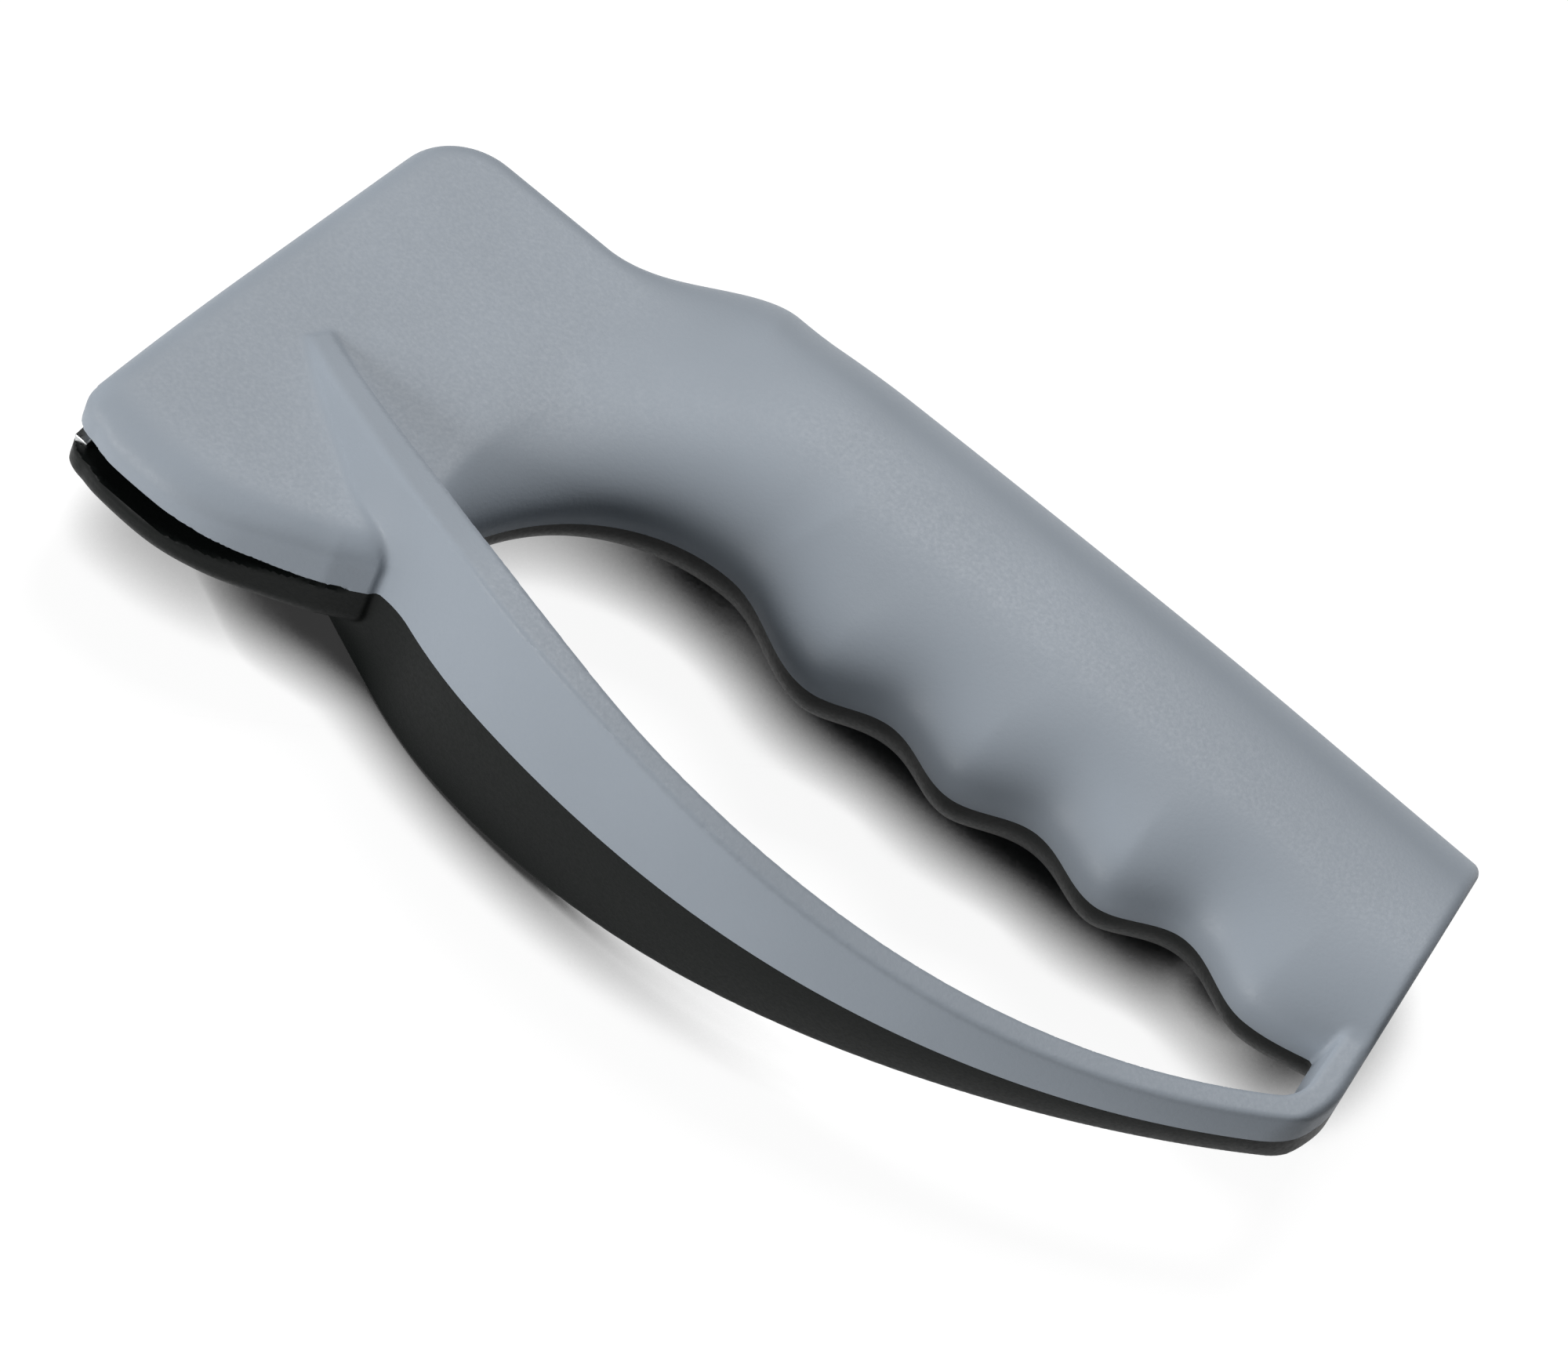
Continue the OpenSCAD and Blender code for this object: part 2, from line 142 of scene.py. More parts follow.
# Grip
BODY_L = 135.8
GRIP_H = 10.7
GRIP_FADE = (28.0, 30.0)
TAIL_H = 9.6
TAIL_FADE = (95.0, 40.0)
BACK_END_Y = 0.3
BACK_SPARE = 14.0
BACK_RISE = 12.2
BACK_RISE_FADE = (22.8, 19.2)
BACK_BOW_X = 96.0
BACK_BOW_R = 2050.0
BUMP_Y = -36.5
BUMP_H = 5.0
BACK_ROUND_L = 14.0
BACK_ROUND_FADE = (22.0, 26.0)
LOW_ROUND_L = 20.5
EDGE_H = 0.8
SPINE_R = 0.8
TAIL_LEAN = math.tan(math.radians(10.2))
TAIL_CORNER_R = 6.0
TAIL_BEVEL = 1.1

# Finger opening
ARCH_X = 58.0
ARCH_RX = 21.5
ARCH_RY = 26.5
ARCH_Y = BUMP_Y + BUMP_H - ARCH_RY
FINGER_RUN = BODY_L + TAIL_LEAN * -BUMP_Y - ARCH_X
# Rests and bumps, as shares of the run behind the arch and of the bumps' height
FINGER_SHARES = (
    (0, 1), (0.17, 0), (0.283, 0.7), (0.388, 0.2), (0.503, 0.97),
    (0.61, 0.45), (0.722, 1.32), (0.843, 0.62), (1, 1.15),
)

MEAN_SHARE = 0.7
# Depth over which the rests and bumps fade out in the grip's face
WAVE_REACH = 13.0

# The lips' short rounding turns into the grip's long one across a slanting line
SLANT = 0.8
SLANT_Y = -60.0
LOW_ROUND_FADE = (34.0, 24.0)
LOW_EDGE_FADE = (36.0, 9.0)

# Chains of the plan's outlines
CHAIN_START_X = -8.0
CHAIN_STEP = 0.5
CHAIN_SPARE = 12.0

# Guard
GUARD_T = 3.6
GUARD_ROOT_GAIN = 1.0
GUARD_GAIN_FADE = (48.0, 25.0)
GUARD_DRAFT = 0.5
GUARD_CROWN = 0.7
GUARD_EDGE_R = 0.45
GUARD_ROOT_H = 14.5
GUARD_TAIL_H = 3.5
GUARD_FLAT_X = 43.0
BLACK_FLAT_X = 20.0
GUARD_TAPER_FADE = (GUARD_FLAT_X, 96.0)
GUARD_LOW = (73.8, -69.0)
GUARD_TAIL_R = 98.0
GUARD_ROOT_R = 126.0
RIDGE_R = 60.0
RIDGE_JOIN_X = 52.0
RIDGE_HEADING = math.radians(-24)
RIDGE_TIP_X = 10.5
RIDGE_TIP_H = 7.0
RIDGE_END_R = 250.0
RIDGE_TAPER = 0.06
RIDGE_BLEND_H = 1.0
RIDGE_LEAN = 0.55
RIDGE_LEAN_H = 8.0
RIDGE_LEAN_FADE = (26.5, 14.0)
RIDGE_TIP_SHIFT = 0.35
RIDGE_SHIFT_FADE = (16.0, 9.0)
GUARD_FILLET_R = 0.6
LEG_T = 4.3
LEG_DRAFT = 0.25
LEG_RISE = 0.13
LEG_RISE_Y = -38.0
LEG_RISE_L = 10.0
LEG_START_X = 124.0
LEG_END_Y = -24.0
LEG_CORNER_R = 2.0
TAIL_ROUND_FADE = (118.0, 9.0)
TAIL_ROUND_FAR = 60.0

# Cutters: the bar that is seen at the tip stands first, the other one behind it
CUTTER_LEAN = math.radians(18)
CROSS_Y = LIP_Y + 7.0
CUTTER_SETBACK = 1.8
CUTTER_GAP = 0.08
CUTTER_T = 1.7
CUTTER_W = 2.4
CUTTER_L = 12.0
CUTTER_LOWER_SHARE = 0.45

# Screws
SCREW_PLACES = ((14.2, -19.3), (61.0, -16.4), (123.6, -19.6))
SCREW_SEAT_H = 3.8
RECESS_R = 2.85
RECESS_EDGE_R = 0.25
# Forms of a screw, as shares of its head's radius and height and its shank's radius
DOME_R_SHARE = 0.82
DOME_H_SHARE = 0.3
SHANK_TIP_SHARE = 0.85
SOCKET_R_SHARE = 0.42
SOCKET_LOW_SHARE = 1.5
SOCKET_SIDES = 6

# Meshes of the shells: the spacing of their points, and the space they lie in
MESH_STEP = 0.4
SKIN_LOW = (-1.5, -75.0, 0.0)
SKIN_HIGH = (145.5, 3.0, 15.5)
SMOOTHINGS = 3

# Camera, solved from the photograph: its place in the plan and its three turns
CAMERA_PLACE = (221.1, -481.6, 520.2)
CAMERA_TURN = math.radians(18.72)
CAMERA_TILT = math.radians(42)
CAMERA_ROLL = math.radians(25.5)
SENSOR_W = 36.0

# Studio, in metres and watts
KEY_PLACE, KEY_SIZE, KEY_POWER = (-0.25, 0.6, 1.0), (0.5, 0.5), 11.4
FILL_PLACE, FILL_SIZE, FILL_POWER = (-0.58, -1.08, 0.3), (0.5, 0.4), 13.7
WORLD_POWER = 0.04
FLOOR_REACH = 4.0
# The floor that is seen glows white, darkened by ambient occlusion where the object stands close
# over it: a painted contact shadow.
# It also takes a little of the lamps' own light, so that it keeps their real shadows.
SHADOW_LEAN = (-0.35, 0.55, 0.76)
SHADOW_DARK, SHADOW_CLEAR = 0.4, 0.84
FLOOR_GLOW = 0.93
FLOOR_LIT = (0.15, 0.15, 0.15, 1)


class HandleSizes(bpy.types.PropertyGroup):
    """Finish of the two moulded shells."""

    grey: FloatVectorProperty(
        name="Grey", description="Colour of the grey shell", subtype="COLOR", size=4,
        min=0, max=1, default=hex_linear("#969EA7"),
    )
    black: FloatVectorProperty(
        name="Black", description="Colour of the black shell", subtype="COLOR", size=4,
        min=0, max=1, default=hex_linear("#0D100F"),
    )
    grain: FloatProperty(
        name="Grain", description="Spacing of the moulded grain", default=0.45 * MM,
        min=0.1 * MM, max=2 * MM, unit="LENGTH",
    )


class CutterSizes(bpy.types.PropertyGroup):
    """Finish of the carbide cutters."""

    edge: FloatProperty(
        name="Edge", description="Width of the ground edge on each bar", default=0.15 * MM,
        min=0.05 * MM, max=0.4 * MM, unit="LENGTH",
    )
    carbide: FloatVectorProperty(
        name="Carbide", description="Colour of the ground carbide", subtype="COLOR", size=4,
        min=0, max=1, default=hex_linear("#C6C8C9"),
    )


class ScrewSizes(bpy.types.PropertyGroup):
    """Sizes of the shell screws."""

    head_radius: FloatProperty(
        name="Head radius", description="Radius of a screw's head", default=2.7 * MM,
        min=1 * MM, max=4 * MM, unit="LENGTH",
    )
    head_height: FloatProperty(
        name="Head height", description="Height of a screw's head", default=1.8 * MM,
        min=0.5 * MM, max=3 * MM, unit="LENGTH",
    )
    shank_radius: FloatProperty(
        name="Shank radius", description="Radius of a screw's shank", default=1.3 * MM,
        min=0.5 * MM, max=2 * MM, unit="LENGTH",
    )
    length: FloatProperty(
        name="Length", description="Length of a screw under its head", default=9 * MM,
        min=4 * MM, max=12 * MM, unit="LENGTH",
    )
    sides: IntProperty(
        name="Sides", description="Steps round a screw's head", default=48, min=16, max=96,
    )


class StageSizes(bpy.types.PropertyGroup):
    """Floor, lamps and camera."""

    lens: FloatProperty(
        name="Lens", description="Focal length of the camera on a 36 mm sensor", default=156.24,
        min=50, max=300,
    )
    floor: FloatVectorProperty(
        name="Floor", description="Colour of the floor", subtype="COLOR", size=4,
        min=0, max=1, default=hex_linear("#B4B4B4"),
    )
    # Reach of the painted contact shadow: the floor's glow darkened by ambient occlusion.
    painted_shadow_reach: FloatProperty(
        name="Contact shadow", description="Reach of the shadow that hugs the object",
        default=10.2 * MM, min=1 * MM, max=50 * MM, unit="LENGTH",
    )


class PlanDistance:
    """Signed distance in the plan to an open chain of points, positive on its left.

    It is worked out once on a fine table of places and read between them."""

    STEP = 0.4
    LOW = (-6.0, -80.0)
    HIGH = (152.0, 8.0)

    def __init__(self, chain):
        x = np.arange(self.LOW[0], self.HIGH[0], self.STEP)[:, None]
        y = np.arange(self.LOW[1], self.HIGH[1], self.STEP)[None, :]
        nearest = np.full((x.size, y.size), np.inf)
        side = np.ones_like(nearest)
        for (ax, ay), (bx, by) in zip(chain[:-1], chain[1:]):
            dx, dy = bx - ax, by - ay
            share = np.clip(((x - ax) * dx + (y - ay) * dy) / (dx * dx + dy * dy), 0, 1)
            away = (x - ax - share * dx) ** 2 + (y - ay - share * dy) ** 2
            left = np.where(dx * (y - ay) - dy * (x - ax) < 0, -1, 1)
            side = np.where(away < nearest, left, side)
            nearest = np.minimum(nearest, away)
        self.table = np.sqrt(nearest) * side

    def at(self, x, y):
        u = np.clip((x - self.LOW[0]) / self.STEP, 0, self.table.shape[0] - 1.001)
        v = np.clip((y - self.LOW[1]) / self.STEP, 0, self.table.shape[1] - 1.001)
        i, j = u.astype(int), v.astype(int)
        u, v = u - i, v - j
        near = self.table[i, j] * (1 - v) + self.table[i, j + 1] * v
        far = self.table[i + 1, j] * (1 - v) + self.table[i + 1, j + 1] * v
        return near * (1 - u) + far * u


def arc(centre, radius, start, end, steps):
    """Points of an arc, with its angles in degrees."""
    angles = np.radians(np.linspace(start, end, steps + 1))
    return [(centre[0] + radius * math.cos(a), centre[1] + radius * math.sin(a)) for a in angles]


def finger_y(x):
    """Finger side of the grip at x: bumps and rests joined by half waves."""
    share = np.clip((x - ARCH_X) / FINGER_RUN, 0, 1)
    for (start, low), (end, high) in zip(FINGER_SHARES[:-1], FINGER_SHARES[1:]):
        if share <= end:
            return BUMP_Y + BUMP_H * mix(low, high, ease((share - start) / (end - start)))
    return BUMP_Y + BUMP_H * FINGER_SHARES[-1][1]


def finger_side(waves):
    """Chain along the lips, the root of the guard, the arch and the finger rests."""
    low = LIP_Y - LIP_BOW
    chain = []
    for x in np.arange(CHAIN_START_X, LIP_STRAIGHT_L, 2 * CHAIN_STEP):
        chain.append((x, low + (x - LIP_STRAIGHT_L) ** 2 / (2 * LIP_BOW_R)))
    for turn in np.linspace(0, LIP_TURN, 13):
        chain.append((
            LIP_STRAIGHT_L + LIP_CURVE_R * math.sin(turn),
            low + LIP_CURVE_R * (1 - math.cos(turn)),
        ))
    near_x = LIP_ROOT_X - ROOT_L
    near_y = chain[-1][1] + (near_x - chain[-1][0]) * math.tan(LIP_TURN)
    for turn in np.linspace(LIP_TURN, ROOT_TURN, 7):
        chain.append((
            near_x + ROOT_CURVE_R * (math.sin(turn) - math.sin(LIP_TURN)),
            near_y + ROOT_CURVE_R * (math.cos(LIP_TURN) - math.cos(turn)),
        ))
    rest = LIP_ROOT_X - chain[-1][0]
    chain.append((LIP_ROOT_X, chain[-1][1] + rest * math.tan(ROOT_TURN)))
    for angle in np.linspace(0, 90, 41):
        turn = math.radians(angle)
        chain.append((ARCH_X - ARCH_RX * math.cos(turn), ARCH_Y + ARCH_RY * math.sin(turn)))
    mean = BUMP_Y + BUMP_H * MEAN_SHARE
    for x in np.arange(ARCH_X + CHAIN_STEP, ARCH_X + FINGER_RUN, CHAIN_STEP):
        chain.append((x, mix(mean, float(finger_y(x)), waves)))
    chain.append((ARCH_X + FINGER_RUN + CHAIN_SPARE, chain[-1][1]))
    return chain


def back_side():
    """Chain from the tail along the grip's back and round the head to its front edge."""
    chain = [(BODY_L + BACK_SPARE, BACK_END_Y)]
    for x in np.arange(BODY_L, HEAD_CORNER_R, -CHAIN_STEP):
        rise = float(fade(x, BACK_RISE_FADE))
        bow = (x - BACK_BOW_X) ** 2 / (2 * BACK_BOW_R)
        chain.append((x, HEAD_BACK_Y + rise * (BACK_RISE - bow)))
    centre = (HEAD_FRONT + HEAD_CORNER_R, HEAD_BACK_Y - HEAD_CORNER_R)
    chain += arc(centre, HEAD_CORNER_R, 90, 180, 16)
    for y in np.arange(FRONT_BOW_Y, LIP_Y + LIP_TIP_R, -4 * CHAIN_STEP):
        chain.append((HEAD_FRONT + FRONT_BOW * ((y - FRONT_BOW_Y) / FRONT_BOW_L) ** 2, y))
    centre = (HEAD_FRONT + FRONT_BOW + LIP_TIP_R, LIP_Y + LIP_BOW + LIP_TIP_R)
    chain += arc(centre, LIP_TIP_R, 180, 270, 12)
    chain.append((LIP_STRAIGHT_L, LIP_Y - LIP_TIP_R))
    return chain


FINGER_SIDE = PlanDistance(finger_side(1))
SMOOTH_SIDE = PlanDistance(finger_side(0))
BACK_SIDE = PlanDistance(back_side())


def rounded_side(distance, height, reach, edge, top):
    """Distance to a side that stands up to edge and rounds over to top within reach."""
    u = np.maximum(1 - distance / reach, 1e-3)
    v = np.maximum((height - edge) / (top - edge), 1e-3)
    size = np.hypot(u, v)
    return (size - 1) * size / np.hypot(u / reach, v / (top - edge))


def body_distance(x, y, z):
    """Head and grip, solid, on both sides of the parting plane."""
    height = np.abs(z)
    top = mix(HEAD_H, GRIP_H, fade(x, GRIP_FADE)) - (GRIP_H - TAIL_H) * fade(x, TAIL_FADE)
    side = FINGER_SIDE.at(x, y)
    side = mix(side, SMOOTH_SIDE.at(x, y), ease(side / WAVE_REACH))
    past = x + SLANT * (y - SLANT_Y)
    near = fade(x, ROOT_FADE)
    reach = mix(mix(LIP_ROUND_L, ROOT_ROUND_L, near), LOW_ROUND_L, fade(past, LOW_ROUND_FADE))
    edge = mix(mix(LIP_H, ROOT_H, near), EDGE_H, fade(past, LOW_EDGE_FADE))
    low = rounded_side(side, height, reach, edge, top)
    turn = fade(x, BACK_ROUND_FADE)
    reach = mix(HEAD_EDGE_R, BACK_ROUND_L, turn)
    edge = mix(top - HEAD_EDGE_R, EDGE_H, turn)
    high = rounded_side(BACK_SIDE.at(x, y), height, reach, edge, top)
    return meet_round(low, high, SPINE_R)


def guard_curves():
    """Centres of the guard's three tangent curves, the place where the ridge leaves
    the third one, and the heading where the second meets it."""
    low_x, low_y = GUARD_LOW
    root_centre = (low_x, low_y + GUARD_ROOT_R)
    heading = -math.asin((low_x - RIDGE_JOIN_X) / GUARD_ROOT_R)
    ridge_centre = (
        RIDGE_JOIN_X - RIDGE_R * math.sin(heading),
        root_centre[1] - (GUARD_ROOT_R - RIDGE_R) * math.cos(heading),
    )
    ridge_start = (
        ridge_centre[0] + RIDGE_R * math.sin(RIDGE_HEADING),
        ridge_centre[1] - RIDGE_R * math.cos(RIDGE_HEADING),
    )
    return (low_x, low_y + GUARD_TAIL_R), root_centre, ridge_centre, ridge_start, heading


TAIL_CENTRE, ROOT_CENTRE, RIDGE_CENTRE, RIDGE_START, JOIN_HEADING = guard_curves()


def distance_along(x, y, start, heading):
    """How far a place in the plan lies past a start, along a heading."""
    return (x - start[0]) * math.cos(heading) + (y - start[1]) * math.sin(heading)


def guard_depth(x, y):
    """How far a place in the plan lies inside the guard's outer face."""
    tail = GUARD_TAIL_R - np.hypot(x - TAIL_CENTRE[0], y - TAIL_CENTRE[1])
    root = GUARD_ROOT_R - np.hypot(x - ROOT_CENTRE[0], y - ROOT_CENTRE[1])
    ridge = RIDGE_R - np.hypot(x - RIDGE_CENTRE[0], y - RIDGE_CENTRE[1])
    along = distance_along(x, y, RIDGE_CENTRE, JOIN_HEADING)
    ahead = distance_along(x, y, RIDGE_START, RIDGE_HEADING)
    inward = distance_along(x, y, RIDGE_START, RIDGE_HEADING + math.pi / 2)
    inward = inward - ahead**2 / (2 * RIDGE_END_R)
    near = np.where(ahead > 0, ridge, inward)
    return np.where(x > GUARD_LOW[0], tail, np.where(along > 0, root, near))


def guard_distance(x, y, z, full_x):
    """Guard plate, crowned outside, with the ridge on the head and the leg at the tail."""
    height = np.abs(z)
    ahead = distance_along(x, y, RIDGE_START, RIDGE_HEADING)
    place = RIDGE_START[0] + ahead * math.cos(RIDGE_HEADING)
    ramp = mix(RIDGE_TIP_H, GUARD_ROOT_H, (place - RIDGE_TIP_X) / (full_x - RIDGE_TIP_X))
    taper = mix(GUARD_ROOT_H, GUARD_TAIL_H, fade(x, GUARD_TAPER_FADE))
    blend = np.maximum(RIDGE_BLEND_H - np.abs(ramp - taper), 0)
    half = np.minimum(ramp, taper) - blend**2 / (4 * RIDGE_BLEND_H)
    depth = guard_depth(x, y)
    share = np.clip(height / np.maximum(half, 1), 0, 1)
    lean = RIDGE_LEAN * (1 - fade(x, RIDGE_LEAN_FADE)) * np.clip(half - height, 0, RIDGE_LEAN_H)
    lean = lean + RIDGE_TIP_SHIFT * (1 - fade(x, RIDGE_SHIFT_FADE))
    spread = GUARD_ROOT_GAIN * (1 - fade(x, GUARD_GAIN_FADE))
    spread = spread - RIDGE_TAPER * np.clip(HEAD_L - place, 0, HEAD_L - RIDGE_TIP_X)
    leg = LEG_DRAFT * height - LEG_T - tail_distance(x, y)
    leg = np.maximum(leg, np.maximum(y - LEG_END_Y, LEG_START_X - x))
    plate = meet_round(
        GUARD_CROWN * share**2 - depth - lean,
        join_round(depth - GUARD_T - spread - GUARD_DRAFT * (1 - share), leg, LEG_CORNER_R),
        GUARD_EDGE_R,
    )
    rise = LEG_RISE * np.clip(y - LEG_RISE_Y, 0, LEG_RISE_L) * (x > LEG_START_X)
    plate = meet_round(plate, height - half - rise, GUARD_EDGE_R)
    return np.maximum(plate, RIDGE_TIP_X - place)


def tail_distance(x, y):
    """Distance past the flat tail end."""
    return (x + TAIL_LEAN * y - BODY_L) / math.hypot(1, TAIL_LEAN)


def handle_distance(x, y, z, full_x):
    """Outer form of the handle, with a ridge that is full height at full_x."""
    form = join_round(body_distance(x, y, z), guard_distance(x, y, z, full_x), GUARD_FILLET_R)
    guard_face = -guard_depth(x, y) - TAIL_BEVEL - TAIL_ROUND_FAR * (1 - fade(x, TAIL_ROUND_FADE))
    tail = meet_round(tail_distance(x, y), guard_face, TAIL_CORNER_R)
    return meet_round(form, tail, TAIL_BEVEL)


def slot_distance(x, y, z):
    """Knife slot between the lips, with the blocks that hold the cutters left in."""
    half = SLOT_HALF * (1 - fade(x, (LIP_STRAIGHT_L, HEAD_L - LIP_STRAIGHT_L)))
    slot = np.maximum(np.abs(z) - half, y - LIP_Y - SLOT_DEPTH)
    block = np.maximum(x - BLOCK_END_X, np.abs(y - CROSS_Y - BLOCK_RISE) - BLOCK_HALF_W)
    return np.maximum(np.maximum(slot, x - HEAD_L), -block)


def grey_distance(x, y, z, full_x=GUARD_FLAT_X):
    """Grey shell: the form above the parting plane, without the slot."""
    return meet_round(handle_distance(x, y, z, full_x), -slot_distance(x, y, z), SLOT_EDGE_R)


def black_distance(x, y, z):
    """Black shell, drawn on the grey side, with its screw recesses."""
    form = grey_distance(x, y, z, BLACK_FLAT_X)
    for place_x, place_y in SCREW_PLACES:
        recess = np.maximum(np.hypot(x - place_x, y - place_y) - RECESS_R, SCREW_SEAT_H - z)
        form = meet_round(form, -recess, RECESS_EDGE_R)
    return form


def slope(distance, points, value, flat=False):
    """Gradient of a distance at points where its value is known, by small steps."""
    step = 0.01
    columns = []
    for axis in range(2 if flat else 3):
        shift = np.zeros(3)
        shift[axis] = step
        columns.append((distance(*(points + shift).T) - value) / step)
    if flat:
        columns.append(np.zeros(len(points)))
    return np.stack(columns, axis=1)


def settle(distance, points, flat=False, rounds=2):
    """Moves points onto the surface where the distance is zero."""
    for _ in range(rounds):
        away = distance(*points.T)
        lean = slope(distance, points, away, flat)
        size = np.maximum((lean * lean).sum(axis=1), 0.05)
        move = -(away / size)[:, None] * lean
        length = np.linalg.norm(move, axis=1)
        points = points + move * np.minimum(1, MESH_STEP / np.maximum(length, 1e-9))[:, None]
    return points


def skin(distance, low, high, step):
    """Closed quad mesh of the solid where distance is below zero, cut flat at z = 0.

    One point stands in each cell that the surface crosses and is then moved onto
    the surface; the lowest cells straddle the parting plane and lie flat on it."""
    axes = [np.arange(low[i], high[i] + step, step) for i in range(2)]
    axes.append(np.arange(-step / 2, high[2] + step, step))
    x, y, z = np.meshgrid(*axes, indexing="ij")
    value = distance(x, y, np.maximum(z, 0))
    value[:, :, 0] = 1.0
    inside = value < 0

    cells = tuple(n - 1 for n in value.shape)
    total = np.zeros(cells + (3,))
    hits = np.zeros(cells)
    flat_hits = np.zeros(cells)
    quads = []
    for axis in range(3):
        first = [slice(None)] * 3
        second = [slice(None)] * 3
        first[axis], second[axis] = slice(None, -1), slice(1, None)
        a, b = value[tuple(first)], value[tuple(second)]
        crossed = np.argwhere((a < 0) != (b < 0))
        i, j, k = crossed.T
        share = a[i, j, k] / (a[i, j, k] - b[i, j, k])
        place = np.stack([axes[0][i], axes[1][j], axes[2][k]], axis=1)
        place[:, axis] += share * step
        others = [n for n in range(3) if n != axis]
        around = []
        for du, dv in ((0, 0), (1, 0), (1, 1), (0, 1)):
            cell = crossed.copy()
            cell[:, others[0]] -= du
            cell[:, others[1]] -= dv
            around.append(cell)
            ok = ((cell >= 0) & (cell < cells)).all(axis=1)
            where = tuple(cell[ok].T)
            np.add.at(total, where, place[ok])
            np.add.at(hits, where, 1)
            if axis < 2:
                np.add.at(flat_hits, where, 1)
        turned = (a[i, j, k] < 0) == (axis != 1)
        around = np.stack(around, axis=1)
        around[~turned] = around[~turned][:, ::-1]
        quads.append(around)

    used = hits > 0
    number = np.full(cells, -1)
    number[used] = np.arange(used.sum())
    points = total[used] / hits[used][:, None]
    bottom = np.nonzero(used)[2] == 0
    rim = bottom & (flat_hits[used] > 0)
    faces = np.concatenate(quads)
    faces = number[faces[..., 0], faces[..., 1], faces[..., 2]]

    points[bottom, 2] = 0
    upper = ~bottom
    neighbours = np.concatenate([faces[:, [n, (n + 1) % 4]] for n in range(4)])
    neighbours = np.concatenate([neighbours, neighbours[:, ::-1]])
    for _ in range(SMOOTHINGS):
        points[upper] = settle(distance, points[upper], rounds=1)
        points[rim] = settle(distance, points[rim], flat=True, rounds=1)
        centre, other = neighbours.T
        count = np.bincount(centre, minlength=len(points))
        middle = np.stack([
            np.bincount(centre, points[other, n], minlength=len(points)) / count
            for n in range(3)
        ], axis=1)
        points[upper] = mix(points[upper], middle[upper], 0.5)
    points[upper] = settle(distance, points[upper])
    points[rim] = settle(distance, points[rim], flat=True)
    points[bottom, 2] = 0
    return points, faces


def add_mesh(name, points, faces, material):
    """Object with a mesh given in plan millimetres, moved into the frame."""
    mesh = bpy.data.meshes.new(name)
    placed = (np.asarray(points) + (PLAN_X, PLAN_Y, PARTING_Z)) * MM
    mesh.from_pydata(placed.tolist(), [], np.asarray(faces).tolist())
    mesh.materials.append(material)
    piece = bpy.data.objects.new(name, mesh)
    bpy.context.scene.collection.objects.link(piece)
    return piece


def flatten_parting(piece):
    """Closes the parting plane with a few large faces in place of many small ones."""
    work = bmesh.new()
    work.from_mesh(piece.data)
    plane = PARTING_Z * MM
    flat = [f for f in work.faces if all(abs(v.co.z - plane) < 1e-7 for v in f.verts)]
    down = flat[0].normal.z < 0
    bmesh.ops.delete(work, geom=flat, context="FACES")
    rim = [e for e in work.edges if e.is_boundary]
    cover = bmesh.ops.triangle_fill(work, use_beauty=True, use_dissolve=False, edges=rim)["geom"]
    cover = [f for f in cover if isinstance(f, bmesh.types.BMFace)]
    for face in cover:
        face.normal_update()
        if (face.normal.z < 0) != down:
            face.normal_flip()
    work.to_mesh(piece.data)
    work.free()


def finish_shading(piece, angle=40):
    """Smooth shading with sharp edges where faces meet at more than an angle."""
    piece.data.polygons.foreach_set("use_smooth", [True] * len(piece.data.polygons))
    piece.data.set_sharp_from_angle(angle=math.radians(angle))


def add_node(tree, kind, links=None, **settings):
    """Adds a shader or geometry node, with values for its inputs and links to them."""
    node = tree.nodes.new(kind)
    for key, value in settings.items():
        setattr(node, key, value)
    for key, value in (links or {}).items():
        if isinstance(value, bpy.types.NodeSocket):
            tree.links.new(value, node.inputs[key])
        else:
            node.inputs[key].default_value = value
    return node


def new_material(name):
    """Empty node material with its output."""
    material = bpy.data.materials.new(name)
    material.use_nodes = True
    material.node_tree.nodes.clear()
    return material, material.node_tree


# Flow clouds and grain of the plastic, and the marks of the metal
CLOUD_L = 18 * MM
CLOUD_SHARE = 0.03
GRAIN_ROUGH = 0.07
GRAIN_DEPTH = 0.1 * MM
MARK_SHARE = 0.08
MARK_SMOOTH = 0.06
MARK_ROUGH = 0.08
MARK_DEPTH = 0.03 * MM
# Shares between which nearly all of a noise lies
NOISE_LOW, NOISE_HIGH = 0.3, 0.7
# Roughness and gloss of each plastic, and roughness and spacing of marks of each metal
GREY_FINISH = (0.5, 0.25)
BLACK_FINISH = (0.46, 0.12)
CARBIDE_FINISH = (0.3, 0.25 * MM)
STEEL_FINISH = (0.35, 0.3 * MM)
STEEL_COLOUR = "#A9ABAD"


def spread_noise(tree, noise, low, high):
    """Socket that runs from low to high as a noise does."""
    return add_node(tree, "ShaderNodeMapRange", {
        "Value": noise.outputs["Fac"], "From Min": NOISE_LOW, "From Max": NOISE_HIGH,
        "To Min": low, "To Max": high,
    }).outputs["Result"]


